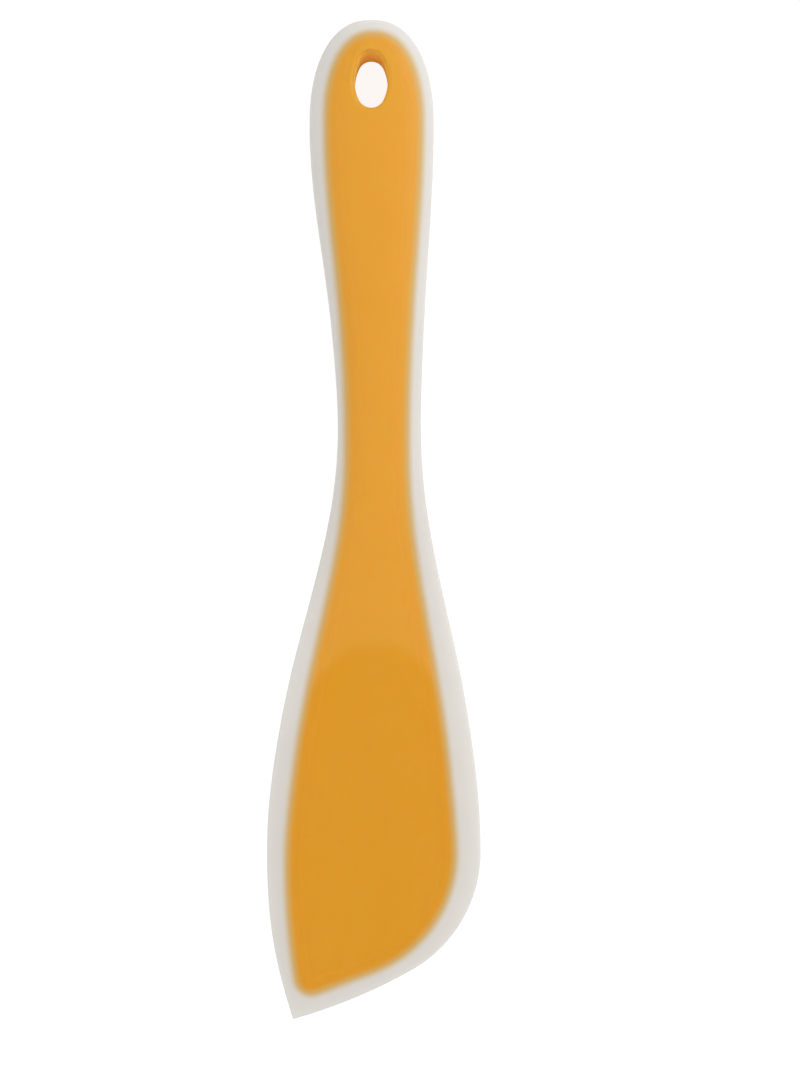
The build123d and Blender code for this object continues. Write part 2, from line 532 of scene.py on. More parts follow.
    def columns(self, side: Side, hole: HangingHole, wider: float) -> tuple[np.ndarray, np.ndarray]:
        """One side's outline from the top to the tip, and the inner point that each faces.

        Beside the hole the inner points run down its rim, and below it down the tool's middle.

        Args:
            side: The side that is wanted.
            hole: The hanging hole.
            wider: How far outside the hole's wall the inner line runs.

        Returns:
            The outline's points and the inner points, in the same order.
        """
        low = hole.low_point()[1] - self.below_hole
        even = np.arange(self.hole_columns) / self.hole_columns
        top = resampled(self.round_end(side, low), even)
        rim = hole.rim(even * math.pi, side, wider)
        even = np.arange(self.handle_columns) / self.handle_columns
        outer = low + even * (self.shoulder_from_tip - low)
        half, middle = self.shape_at(outer)
        flank = np.stack([middle + side.value * half, outer], axis=1)
        start = hole.low_point()[1] - wider
        inner = start + even * (self.shoulder_from_tip - start)
        _, inner_middle = self.shape_at(inner)
        inner_middle += (hole.middle[0] - inner_middle) * eased(start - self.straightened, start, inner)
        centre = np.stack([inner_middle, inner], axis=1)
        even = np.arange(self.blade_columns + 1) / self.blade_columns
        closer = 1 - (1 - even) ** self.crowding
        bottom = resampled(self.fall(side), closer)
        spine = resampled(self.spine(np.linspace(0.0, 1.0, CURVE_POINTS)), closer)
        bottom[-1] = spine[-1] = self.tip()
        return np.concatenate([top, flank, bottom]), np.concatenate([rim, centre, spine])

    def loops(self, hole: HangingHole, wider: float) -> tuple[np.ndarray, np.ndarray]:
        """The closed outline, down the right side and back up the left, and its inner points.

        Args:
            hole: The hanging hole.
            wider: How far outside the hole's wall the inner line runs.

        Returns:
            The outline's points and the inner points, in the same order.
        """
        right, right_inner = self.columns(Side.RIGHT, hole, wider)
        left, left_inner = self.columns(Side.LEFT, hole, wider)
        outline = np.concatenate([right, left[-2:0:-1]])
        return outline, np.concatenate([right_inner, left_inner[-2:0:-1]])


SKIN_PLAN = Plan(
    grip_width=35.3,
    neck_width=23.7,
    blade_width=61.2,
    end=285.0,
    grip_shift=-0.6,
    neck_shift=1.6,
    blade_shift=0.0,
    tip_corner=(-23.2, 0.0),
    bend=(10.7, 14.0),
)
CORE_PLAN = Plan(
    grip_width=26.9,
    neck_width=17.1,
    blade_width=47.8,
    end=280.2,
    grip_shift=0.0,
    neck_shift=0.9,
    blade_shift=-0.8,
    tip_corner=(-21.3, 6.1),
    bend=(-0.7, 14.0),
    tip_radius=4.5,
    lag=5.7,
)


@dataclass(frozen=True)
class ToolForm:
    """How thick the tool is at each place: the crowned handle that runs out into the flat blade."""

    grip_half: float = 6.2
    neck_half: float = 4.9
    blade_half: float = 2.2
    edge_half: float = 0.6
    edge_taper: float = 6.5
    end_bluntness: float = 12.0
    roundness: float = 0.417
    arch_top: float = 106.0
    arch_foot: float = 80.0
    arch_drop: float = 31.0
    arch_power: float = 3.0
    arch_step: Flat = (-4.0, 1.5)
    opening_power: float = 0.9
    taper_power: float = 1.5
    taper_fade: float = 34.0
    oval_from: float = -6.0
    oval_at: float = 24.0
    edge_reach: float = 30.0
    corner_softness: float = 3.0
    corner_step: Flat = (45.0, 25.0)
    swell_shares: tuple = ((0.2, 0.4), (0.46, 0.85), (0.73, 1.0), (1.0, 1.0))
    root_shares: tuple = (
        (0.62, -0.18),
        (0.52, 0.02),
        (0.43, 0.24),
        (0.29, 0.59),
        (0.14, 0.89),
        (0.0, 1.0),
    )

    def centre_half(self, distance: np.ndarray) -> np.ndarray:
        """Half the thickness on the middle line, by the distance from the tip.

        A smooth curve through shares of the loss from the neck to the blade and of the growth
        from the neck to the swell, never under the blade's. Towards the end it rounds off as
        the square root of 1 - t to the power of its bluntness.

        Args:
            distance: Distances from the tip.

        Returns:
            Half the thickness at each of them.
        """
        plan = SKIN_PLAN
        root, swell = np.array(self.root_shares), np.array(self.swell_shares)
        down = plan.neck_from_tip - root[:, 0] * (plan.neck_from_tip - plan.shoulder_from_tip)
        up = plan.neck_from_tip + swell[:, 0] * (plan.swell_from_tip - plan.neck_from_tip)
        low = self.blade_half + root[:, 1] * (self.neck_half - self.blade_half)
        high = self.neck_half + swell[:, 1] * (self.grip_half - self.neck_half)
        rise = level_spline(np.concatenate([down, up]), np.concatenate([low, high]), distance)
        beyond = (distance - plan.swell_from_tip) / (plan.end - plan.swell_from_tip)
        rounding = 1 - np.clip(beyond, 0.0, 1.0) ** self.end_bluntness
        return np.maximum(rise, self.blade_half) * np.sqrt(rounding)

    def way_in(self, points: np.ndarray, outline: np.ndarray) -> np.ndarray:
        """The distance to the outline, eased where the corner's two sides are equally near.

        In the corner it is (a^-p + b^-p) to the power -1/p, where a and b are the distances to
        the tool's right and left side, and up the blade it turns into the lesser of the two.

        Args:
            points: The points, one row each.
            outline: The skin's closed outline, down the right side and up the left.

        Returns:
            The distance of each point.
        """
        tip = int(np.argmin(((outline - SKIN_PLAN.tip()) ** 2).sum(axis=1)))
        right = way_to_runs(points, outline[: tip + 1])
        left = way_to_runs(points, np.concatenate([outline[tip:], outline[:1]]))
        nearest = np.minimum(right, left)
        power = self.corner_softness
        ratio = nearest / np.maximum(np.maximum(right, left), TINY)
        soft = nearest / (1 + ratio**power) ** (1 / power)
        return nearest + (soft - nearest) * eased(*self.corner_step, points[:, 1])

    def half_thickness(self, points: np.ndarray, outline: np.ndarray) -> tuple[np.ndarray, np.ndarray]:
        """Half the skin's thickness at points seen from above, and where the blade's flat face is.

        Across the handle it is an oval: 1 - s^2 to the power of its roundness, where s runs
        from 0 in the middle to 1 at the side. On the blade it depends on the distance to the
        outline: a small round nose, then a taper up to the flat. Between the two the oval's
        shoulder narrows down to the taper's width, which leaves the flat its arched top. The
        face's share is 1 below the arch's line, which drops towards the sides, and falls to 0
        across it.

        Args:
            points: The points, one row each.
            outline: The skin's closed outline.

        Returns:
            Half the thickness at each point, and the face's share.
        """
        x, y = points[:, 0], points[:, 1]
        plan = SKIN_PLAN
        half, middle = plan.shape_at(np.maximum(y, plan.shoulder_from_tip))
        lateral = 1 - np.clip(np.abs(x - middle) / np.maximum(half, TINY), 0.0, 1.0)
        way = lateral * half
        near = y < self.arch_top + self.edge_reach
        way[near] = self.way_in(points[near], outline)
        rise = np.clip((y - self.arch_foot) / (self.arch_top - self.arch_foot), 0.0, 1.0)
        opened = np.sqrt(1 - rise**self.opening_power)
        flank = np.maximum(half - (half - self.edge_taper) * opened, TINY)
        inward = np.clip(way / flank, 0.0, 1.0)
        inward += (lateral - inward) * eased(self.oval_from, self.oval_at, y - self.arch_top)
        crowned = (1 - (1 - inward) ** 2) ** self.roundness
        nose = np.sqrt(1 - (1 - np.clip(way / self.edge_half, 0.0, 1.0)) ** 2)
        lean = 1 - (1 - inward) ** self.taper_power
        tapered = nose * (self.edge_half + (self.blade_half - self.edge_half) * lean) / self.blade_half
        bladed = eased(self.arch_top, self.arch_top - self.taper_fade, y)
        line = self.arch_top - self.arch_drop * (1 - lateral) ** self.arch_power
        face = eased(*self.arch_step, line - y)
        return self.centre_half(y) * (crowned + (tapered - crowned) * bladed), face


def lip(way: np.ndarray, radius: float) -> np.ndarray:
    """How far a lip of radius r has dropped at a distance e from the hole: r - sqrt(r^2 - (r - e)^2)."""
    inside = radius - np.clip(way, 0.0, radius)
    return radius - np.sqrt(radius**2 - inside**2)


@dataclass(frozen=True)
class Lay:
    """How the level tool lies on its back: on two places of the blade's end and on its belly."""

    front: tuple = (-19.12, 9.15, -2.2)
    bend: tuple = (9.86, 21.12, -2.2)
    belly: tuple = (0.764, 208.02, -6.005)

    def turned(self, points: np.ndarray) -> np.ndarray:
        """The points in axes whose z stands square on the plane through the three feet.

        Args:
            points: Points in the level frame, three columns.

        Returns:
            The same points in the lying tool's axes.
        """
        front, bend, belly = np.array(self.front), np.array(self.bend), np.array(self.belly)
        upright = np.cross(bend - front, belly - front)
        upright /= np.linalg.norm(upright)
        along = np.cross(upright, (1.0, 0.0, 0.0))
        along /= np.linalg.norm(along)
        return points @ np.array([np.cross(along, upright), along, upright]).T


@dataclass
class Sheets:
    """A closed mesh on a ring of columns: an upper and a lower sheet and the wall of the hole.

    A column runs from a point of the outline straight in to its inner point. Its rows are close
    together near the outline and near the hole, where the surface turns most.
    """

    outline: np.ndarray
    inner: np.ndarray
    hole: HangingHole
    hole_columns: int
    outer_steps: tuple = (0, 0.03, 0.1, 0.22, 0.4, 0.65, 1.0, 1.5, 2.1, 2.8, 3.6, 4.5, 5.5, 6.5, 7.5)
    inner_steps: tuple = (2.4, 1.8, 1.35, 1.0, 0.72, 0.5, 0.32, 0.18, 0.08, 0.02, 0)
    outer_share: float = 0.45
    inner_share: float = 0.15
    middle_rows: int = 12
    wall_rows: int = 6

    def places(self) -> np.ndarray:
        """The points of the rows and columns seen from above, as rows by columns by two.

        Returns:
            outline + share x (inner - outline), where the outer shares are the first steps over
            the column's length, the inner ones are counted back from its end, and even shares
            fill the rest.
        """
        length = np.maximum(np.linalg.norm(self.inner - self.outline, axis=1), TINY)
        outer, inner = np.array(self.outer_steps), np.array(self.inner_steps)
        first = outer[:, None] / outer[-1] * np.minimum(outer[-1], self.outer_share * length) / length
        last = 1 - inner[:, None] / inner[0] * np.minimum(inner[0], self.inner_share * length) / length
        even = np.linspace(0.0, 1.0, self.middle_rows + 2)[1:-1, None]
        shares = np.concatenate([first, first[-1] + even * (last[0] - first[-1]), last])
        return self.outline + shares[:, :, None] * (self.inner - self.outline)

    def build(
        self, name: str, heights: np.ndarray, lay: Lay, marks: dict[Mark, np.ndarray]
    ) -> bpy.types.Object:
        """The closed mesh, still in mm and turned to lie down, as an object with its marks.

        Args:
            name: The piece's name.
            heights: The upper sheet's height at each row and column; the lower one mirrors it.
            lay: How the tool lies.
            marks: More measures at each row and column, which the material reads.

        Returns:
            The new object, linked to the scene.
        """
        places = self.places()
        rows, columns = heights.shape
        upper = np.concatenate([places, heights[:, :, None]], axis=2)
        lower = upper * np.array([1.0, 1.0, -1.0])
        around = np.arange(-self.hole_columns, self.hole_columns + 1) % columns
        drop = np.linspace(1.0, -1.0, self.wall_rows)[:, None]
        rim = np.broadcast_to(places[-1, around], (self.wall_rows, len(around), 2))
        wall = np.concatenate([rim, (drop * heights[-1, around])[:, :, None]], axis=2)
        vertices = np.concatenate([part.reshape(-1, 3) for part in (upper, lower, wall)])
        vertices = self.hole.leaning(vertices)
        first = self.quads(rows, columns, wrap=True)
        tunnel = self.quads(self.wall_rows, len(around), wrap=False) + 2 * rows * columns
        faces = np.concatenate([first, first[:, ::-1] + rows * columns, tunnel])
        mesh = bpy.data.meshes.new(name)
        mesh.from_pydata(lay.turned(vertices).tolist(), [], faces.tolist())
        measures = {}
        for mark, value in marks.items():
            flat, beside = value.reshape(-1), np.tile(value[-1, around], self.wall_rows)
            measures[mark] = np.concatenate([flat, flat, beside])
        measures[Mark.LEVEL] = vertices[:, 2]
        for mark, value in measures.items():
            layer = mesh.attributes.new(mark.value, "FLOAT", "POINT")
            layer.data.foreach_set("value", value.astype(np.float32))
        self.close(mesh)
        piece = bpy.data.objects.new(name, mesh)
        bpy.context.scene.collection.objects.link(piece)
        return piece

    @staticmethod
    def quads(rows: int, columns: int, wrap: bool) -> np.ndarray:
        """The corner numbers of a grid's faces.

        Args:
            rows: How many rows of vertices it has.
            columns: How many columns.
            wrap: Whether its last column is joined to its first.

        Returns:
            Four corners for each face, one row each.
        """
        across = np.arange(columns if wrap else columns - 1)
        after = (across + 1) % columns
        start = np.arange(rows - 1)[:, None] * columns
        faces = [start + across, start + after, start + columns + after, start + columns + across]
        return np.stack(faces, axis=2).reshape(-1, 4)

    @staticmethod
    def close(mesh: bpy.types.Mesh) -> None:
        """Joins the places where rows and columns meet, and turns every face outwards."""
        shell = bmesh.new()
        shell.from_mesh(mesh)
        bmesh.ops.remove_doubles(shell, verts=shell.verts, dist=JOIN_WAY)
        bmesh.ops.recalc_face_normals(shell, faces=shell.faces)
        shell.to_mesh(mesh)
        shell.free()
        mesh.polygons.foreach_set("use_smooth", np.ones(len(mesh.polygons), dtype=bool))


def corners_of(piece: bpy.types.Object) -> np.ndarray:
    """The piece's vertices as an array of three columns."""
    flat = np.empty(len(piece.data.vertices) * 3)
    piece.data.vertices.foreach_get("co", flat)
    return flat.reshape(-1, 3)


def set_down(piece: bpy.types.Object, shift: np.ndarray) -> None:
    """Moves a piece's vertices by a shift in mm and writes them in metres."""
    piece.data.vertices.foreach_set("co", ((corners_of(piece) + shift) * METRES).reshape(-1))
    piece.data.update()


class Kind(Enum):
    """The kinds of value that a node group takes and gives."""

    NUMBER = "NodeSocketFloat"
    PLACE = "NodeSocketVector"
    COLOUR = "NodeSocketColor"


class Wiring:
    """A node tree in the making. Each method adds a node and gives what goes on from it."""

    def __init__(self, tree: bpy.types.NodeTree) -> None:
        """Takes the tree that the nodes go into."""
        self.tree = tree

    def feed(self, inputs: bpy.types.NodeInputs, values: dict[str | int, Value]) -> None:
        """Links each value that is an output to its input, and sets the others as constants.

        Args:
            inputs: A node's inputs.
            values: What goes in, by the input's name or number.
        """
        for name, value in values.items():
            if isinstance(value, Socket):
                self.tree.links.new(value, inputs[name])
            else:
                inputs[name].default_value = value

    def node(self, kind: str, values: dict[str | int, Value], **settings: object) -> bpy.types.NodeOutputs:
        """A new node with its settings made and its inputs fed.

        Args:
            kind: The node's type, without the word ShaderNode in front.
            values: What goes into its inputs.
            settings: Its own settings, made before its inputs are fed.

        Returns:
            Its outputs.
        """
        made = self.tree.nodes.new("ShaderNode" + kind)
        for name, setting in settings.items():
            setattr(made, name, setting)
        self.feed(made.inputs, values)
        return made.outputs

    def math(self, operation: str, *values: Value) -> Socket:
        """A calculation with up to three numbers."""
        return self.node("Math", dict(enumerate(values)), operation=operation)[0]

    def mix(self, factor: Value, first: Value, second: Value) -> Socket:
        """A blend of two colours: the first at factor 0 and the second at 1."""
        values = {"Factor": factor, "A": first, "B": second}
        return self.node("Mix", values, data_type="RGBA")["Result"]

    def spread(self, value: Value, source: Ends, target: Ends, step: str = "LINEAR") -> Socket:
        """A value brought from one range onto another and held between its ends.

        Args:
            value: The value.
            source: The ends of the range that it comes from.
            target: The ends of the range that it is brought onto.
            step: The way between them, straight or smooth.

        Returns:
            The new value.
        """
        ends = zip(("From Min", "From Max", "To Min", "To Max"), (*source, *target))
        return self.node("MapRange", {"Value": value, **dict(ends)}, interpolation_type=step)["Result"]

    def mark(self, mark: Mark) -> Socket:
        """A measure that the mesh carries."""
        return self.node("Attribute", {}, attribute_name=mark.value)["Fac"]


class NodeGroup(Wiring):
    """A shared node group in the making."""

    def __init__(self, name: str, takes: dict[str, Kind | float], gives: dict[str, Kind]) -> None:
        """Makes the group's own inputs and outputs.

        Args:
            name: The group's name.
            takes: The kind of each input, or for a number its usual value.
            gives: The kind of each output.
        """
        super().__init__(bpy.data.node_groups.new(name, "ShaderNodeTree"))
        sockets = self.tree.interface
        for label, usual in takes.items():
            kind = usual if isinstance(usual, Kind) else Kind.NUMBER
            socket = sockets.new_socket(label, in_out="INPUT", socket_type=kind.value)
            if kind is Kind.NUMBER:
                socket.default_value = usual
        for label, kind in gives.items():
            sockets.new_socket(label, in_out="OUTPUT", socket_type=kind.value)
        self.takes = self.tree.nodes.new("NodeGroupInput").outputs
        self.gives = self.tree.nodes.new("NodeGroupOutput").inputs


@dataclass
class Effects:
    """The node groups that both finishes use, built once."""

    # How far each part goes towards the handle's colour. The handle's lighter, hazier tone is partly the
    # thicker silicone's haze and partly painted light and sheen.
    handle_tone: float = 0.75
    blade_tone: float = -0.15
    tone_drift: float = 0.5

    def __post_init__(self) -> None:
        """Makes the groups."""
        self.moulded = self.moulded_surface()
        self.shown = self.core_behind()
        self.toned = self.blade_and_handle()

    @staticmethod
    def moulded_surface() -> bpy.types.ShaderNodeTree:
        """A mould's fine satin texture, with a slow unevenness in tone and gloss.

        Returns:
            A group that takes the place and the grain's size and gives Height, Tone and Gloss,
            where Gloss is the mean of the other two.
        """
        takes = {"Place": Kind.PLACE, "Grain per metre": 2600.0, "Flow per metre": 45.0}
        group = NodeGroup("moulded_surface", takes, dict.fromkeys(("Height", "Tone", "Gloss"), Kind.NUMBER))
        place, fine, slow = (group.takes[name] for name in takes)
        close = {"Vector": place, "Scale": fine, "Detail": 3.0, "Roughness": 0.6}
        broad = {"Vector": place, "Scale": slow, "Detail": 4.0, "Distortion": 0.6}
        grain, flow = (group.node("TexNoise", values)["Fac"] for values in (close, broad))
        gloss = group.math("MULTIPLY_ADD", grain, 0.5, group.math("MULTIPLY", flow, 0.5))
        group.feed(group.gives, {"Height": grain, "Tone": flow, "Gloss": gloss})
        return group.tree

    @staticmethod
    def core_behind() -> bpy.types.ShaderNodeTree:
        """How the core shows through the silicone, by how deep inside the core's outline a place is.

        Returns:
            A group that takes Depth in mm and gives Cover, how opaque the silicone is, Rim, how
            near the core's rim it lies, and Stain, how much of the core's colour it takes up.
        """
        takes = {
            "Depth": 0.0,
            "Milky to": 1.8,
            "Clear from": 5.0,
            "Thin cover": 0.6,
            "Full cover": 0.96,
            # Rim from and Rim at: where the painted shade of the core's edge starts and where it is full.
            "Rim from": -2.1,
            "Rim at": 0.3,
            "Stain from": -0.6,
            "Stained at": 1.9,
        }
        group = NodeGroup("core_behind", takes, dict.fromkeys(("Cover", "Rim", "Stain"), Kind.NUMBER))
        ends = group.takes
        steps = {
            "Cover": (ends["Milky to"], ends["Clear from"], ends["Full cover"], ends["Thin cover"]),
            "Rim": (ends["Rim from"], ends["Rim at"], *WHOLE),
            "Stain": (ends["Stain from"], ends["Stained at"], *WHOLE),
        }
        for name, step in steps.items():
            share = group.spread(ends["Depth"], step[:2], step[2:], SMOOTH)
            group.feed(group.gives, {name: share})
        return group.tree

    def blade_and_handle(self) -> bpy.types.ShaderNodeTree:
        """The nylon's colour: deeper on the blade's flat face, lighter and hazier on the crowned handle,
        partly the haze of its thicker silicone and partly painted light and sheen on the crown.

        Returns:
            A group that takes Face, 1 on the flat face, a slow unevenness and the two colours,
            and gives Colour.
        """
        takes = {"Face": 1.0, "Unevenness": 0.5, "Blade": Kind.COLOUR, "Handle": Kind.COLOUR}
        group = NodeGroup("blade_and_handle", takes, {"Colour": Kind.COLOUR})
        face, unevenness, blade, handle = (group.takes[name] for name in takes)
        tone = group.spread(face, WHOLE, (self.handle_tone, self.blade_tone))
        share = group.math("MULTIPLY_ADD", unevenness, self.tone_drift, tone)
        group.feed(group.gives, {"Colour": group.mix(share, blade, handle)})
        return group.tree


@dataclass(frozen=True)
class Finish:
    """What the finishes have in common: a moulded grain, a drifting gloss and light from within."""

    slot: str
    blade: Colour
    handle: Colour
    grain_per_metre: float
    grain_depth: float
    gloss_drift: float
    specular: float
    glow: float
    glow_radius: tuple
    glow_depth: float
    roughness: float = 0.45
    grain_strength: float = 0.35

    def build(self, effects: Effects) -> bpy.types.Material:
        """The material, with a fine grain and a slow change of tone and gloss.

        Args:
            effects: The shared node groups.

        Returns:
            The finished material.
        """
        material = bpy.data.materials.new(self.slot)
        material.use_nodes = True
        wiring = Wiring(material.node_tree)
        place = wiring.node("TexCoord", {})["Object"]
        moulded = {"Place": place, "Grain per metre": self.grain_per_metre}
        surface = wiring.node("Group", moulded, node_tree=effects.moulded)
        bump = {
            "Strength": self.grain_strength,
            "Distance": self.grain_depth,
            "Height": self.relief(wiring, surface["Height"]),
        }
        gloss_ends = (self.roughness - self.gloss_drift, self.roughness + self.gloss_drift)
        values = {
            "Roughness": wiring.spread(surface["Gloss"], WHOLE, gloss_ends),
            "Normal": wiring.node("Bump", bump)["Normal"],
            "Specular IOR Level": self.specular,
            "Subsurface Weight": self.glow,
            "Subsurface Radius": self.glow_radius,
            "Subsurface Scale": self.glow_depth,
            **self.dressing(wiring, effects, place, surface["Tone"]),
        }
        wiring.feed(material.node_tree.nodes["Principled BSDF"].inputs, values)
        return material

    def relief(self, wiring: Wiring, grain: Socket) -> Socket:
        """The surface's height in shares of the grain's depth, by the grain's own, 0 to 1."""
        return grain

    def dressing(
        self, wiring: Wiring, effects: Effects, place: Socket, tone: Socket
    ) -> dict[str, Value]:
        """The shader's inputs that this finish alone has.

        Args:
            wiring: The material's wiring.
            effects: The shared node groups.
            place: The place on the piece, in metres.
            tone: A slow unevenness, 0 to 1.

        Returns:
            The value of each input by its name.
        """
        raise NotImplementedError


@dataclass(frozen=True)
class MatteNylon(Finish):
    """The core's finish: a stiff warm orange nylon, satin from its mould."""

    slot: str = "orange_nylon"
    # The handle's orange is lighter than the blade's: partly the haze of the thicker silicone, partly
    # painted light and sheen on the crown.
    handle: Colour = painted(235, 168, 42)
    blade: Colour = painted(230, 161, 10)
    # wall: a lighter orange painted on the hole's wall, painted light that makes up for the shade inside
    # the hole.
    wall: Colour = painted(246, 188, 84)
    wall_reach: float = 0.25
    sheen: float = 0.6
    grain_per_metre: float = 2600.0
    grain_depth: float = 0.00002
    gloss_drift: float = 0.06
    specular: float = 0.0
    glow: float = 0.5
    glow_radius: tuple = (1.0, 0.45, 0.1)
    glow_depth: float = 0.004

    def dressing(
        self, wiring: Wiring, effects: Effects, place: Socket, tone: Socket
    ) -> dict[str, Value]:
        """The nylon's colour, with a lighter orange painted on the hole's wall as painted light against the
        shade in the hole, and a sheen outside it.
        """
        toned = {"Face": wiring.mark(Mark.FACE), "Unevenness": tone}
        toned |= {"Blade": self.blade, "Handle": self.handle}
        nylon = wiring.node("Group", toned, node_tree=effects.toned)["Colour"]
        beside = wiring.spread(wiring.mark(Mark.HOLE_WAY), (0.0, self.wall_reach), WHOLE, SMOOTH)
        return {
            # Near the hole the base colour turns to the wall's lighter orange, which is painted light.
            "Base Color": wiring.mix(beside, self.wall, nylon),
            "Coat Weight": wiring.math("MULTIPLY", beside, self.sheen),
            "Coat Roughness": self.roughness,
        }


@dataclass(frozen=True)
class FrostedSilicone(Finish):
    """The skin's finish: pale milky silicone, clear where it lies thinly over the core."""

    slot: str = "frosted_silicone"
    blade: Colour = painted(220, 216, 210)
    handle: Colour = painted(224, 221, 217)
    shaded: Colour = painted(215, 211, 205)
    shade_ends: Flat = (0.5, -0.1)
    # rim: a darker tan painted round the core's outline, painted shade of the core's rounded edge seen
    # through the silicone.
    rim: Colour = painted(214, 181, 114)
    # stained_handle is lighter than stained_blade: partly the thicker silicone's haze, partly painted light
    # and sheen on the crown.
    stained_handle: Colour = painted(230, 165, 46)
    stained_blade: Colour = painted(225, 158, 14)
    handle_ends: Flat = (-0.03, 0.07)
    grain_per_metre: float = 2100.0
    grain_depth: float = 0.00003
    parting_height: float = 0.00006
    parting_ends: Flat = (0.02, 0.16)
    gloss_drift: float = 0.08
    specular: float = 0.4
    glow: float = 0.7
    glow_radius: tuple = (1.0, 0.95, 0.9)
    glow_depth: float = 0.006

    def relief(self, wiring: Wiring, grain: Socket) -> Socket:
        """The grain, and a faint parting line that runs round the tool at its middle plane."""
        off = wiring.math("ABSOLUTE", wiring.mark(Mark.LEVEL))
        top = self.parting_height / self.grain_depth
        ridge = wiring.spread(off, self.parting_ends, (top, 0.0), SMOOTH)
        return wiring.math("ADD", grain, ridge)

    def dressing(
        self, wiring: Wiring, effects: Effects, place: Socket, tone: Socket
    ) -> dict[str, Value]:
        """The milky colour, the cover and the stain that follow the core's outline, and a darker tan
        painted at the core's edge as its shade.
        """
        depth = {"Depth": wiring.mark(Mark.CORE_DEPTH)}
        shown = wiring.node("Group", depth, node_tree=effects.shown)
        forward = wiring.node("SeparateXYZ", {"Vector": place})["Y"]
        along = wiring.spread(forward, self.handle_ends, WHOLE, SMOOTH)
        milky = wiring.mix(along, self.blade, self.handle)
        shaded = wiring.mix(wiring.spread(tone, WHOLE, self.shade_ends), milky, self.shaded)
        toned = {"Face": wiring.mark(Mark.FACE), "Unevenness": tone}
        toned |= {"Blade": self.stained_blade, "Handle": self.stained_handle}
        orange = wiring.node("Group", toned, node_tree=effects.toned)["Colour"]
        # Round the core's outline the colour turns to the darker tan, which is painted shade of the core's
        # edge.
        rim = wiring.mix(shown["Rim"], shaded, self.rim)
        return {"Base Color": wiring.mix(shown["Stain"], rim, orange), "Alpha": shown["Cover"]}


@dataclass
class Body:
    """One body of the tool: its plan round the hanging hole, and the form that gives its height."""

    plan: Plan
    lip_radius: float
    hole_clearance: float = 0.0
    form: ToolForm = field(default_factory=ToolForm)
    hole: HangingHole = field(default_factory=HangingHole)

    def outline(self) -> np.ndarray:
        """The body's closed outline seen from above."""
        return self.plan.loops(self.hole, 0.0)[0]

    def sheets(self) -> Sheets:
        """The ring of columns that the body's two sheets stand on."""
        outline, inner = self.plan.loops(self.hole, self.hole_clearance)
        return Sheets(outline, inner, self.hole, self.plan.hole_columns)

    def covered(
        self, name: str, sheets: Sheets, height: np.ndarray, lay: Lay, marks: dict[Mark, np.ndarray]
    ) -> bpy.types.Object:
        """The body's mesh, with the lip of its hole rounded and its rim brought to a line.

        Args:
            name: The piece's name.
            sheets: The body's columns.
            height: Half the thickness at each of their points, before the lip.
            lay: How the tool lies.
            marks: The measures at each point that the material reads.

        Returns:
            The piece.
        """
        places = sheets.places()
        shape = places.shape[:2]
        height = height - lip(way_to_line(places.reshape(-1, 2), self.hole.outline()), self.lip_radius)
        height = np.maximum(height, 0.0).reshape(shape)
        height[0] = 0.0
        marks = {mark: value.reshape(shape) for mark, value in marks.items()}
        return sheets.build(name, height, lay, marks)


@dataclass
class SiliconeSkin(Body):
    """The frosted skin: the outer surface of the whole tool, which feathers out in the hole's lip."""

    plan: Plan = SKIN_PLAN
    lip_radius: float = 1.5
    hole_clearance: float = 0.12

    def build(self, lay: Lay, core_outline: np.ndarray) -> tuple[bpy.types.Object, np.ndarray]:
        """The skin's mesh, with its depth inside the core's outline marked on it.

        Args:
            lay: How the tool lies.
            core_outline: The core's closed outline.

        Returns:
            The piece, and the shift in mm that sets the tool down at the middle of its box.
        """
        sheets = self.sheets()
        flat = sheets.places().reshape(-1, 2)
        height, face = self.form.half_thickness(flat, sheets.outline)
        depth = way_to_line(flat, core_outline) * np.where(within(flat, core_outline), 1.0, -1.0)
        marks = {Mark.CORE_DEPTH: depth, Mark.FACE: face}
        piece = self.covered("silicone_skin_look", sheets, height, lay, marks)
        piece.visible_shadow = piece.visible_diffuse = False
        corners = corners_of(piece)
        low, high = corners.min(axis=0), corners.max(axis=0)
        return piece, -np.array([(low[0] + high[0]) / 2, (low[1] + high[1]) / 2, low[2]])


@dataclass
class NylonCore(Body):
    """The stiff core: the same form one skin's thickness lower, with its own rounded edges."""

    plan: Plan = CORE_PLAN
    lip_radius: float = 0.5
    skin_wall: float = 1.0
    blade_edge: float = 0.9
    handle_edge: float = 3.0
    edge_growth: float = 30.0

    def build(self, lay: Lay, skin_outline: np.ndarray) -> bpy.types.Object:
        """The core's mesh.

        Its half thickness is the skin's less the wall, times a round edge: sqrt(1 - (1 - u)^2),
        where u is the distance to the core's own outline over the edge's width.

        Args:
            lay: How the tool lies.
            skin_outline: The skin's closed outline.

        Returns:
            The piece.
        """
        sheets = self.sheets()
        flat = sheets.places().reshape(-1, 2)
        height, face = self.form.half_thickness(flat, skin_outline)
        growth = eased(self.form.arch_foot, self.form.arch_top + self.edge_growth, flat[:, 1])
        edge = self.blade_edge + (self.handle_edge - self.blade_edge) * growth
        inward = np.clip(way_to_line(flat, sheets.outline) / edge, 0.0, 1.0)
        height = (height - self.skin_wall) * np.sqrt(1 - (1 - inward) ** 2)
        marks = {Mark.FACE: face, Mark.HOLE_WAY: way_to_line(flat, self.hole.outline())}
        return self.covered("nylon_core_look", sheets, height, lay, marks)


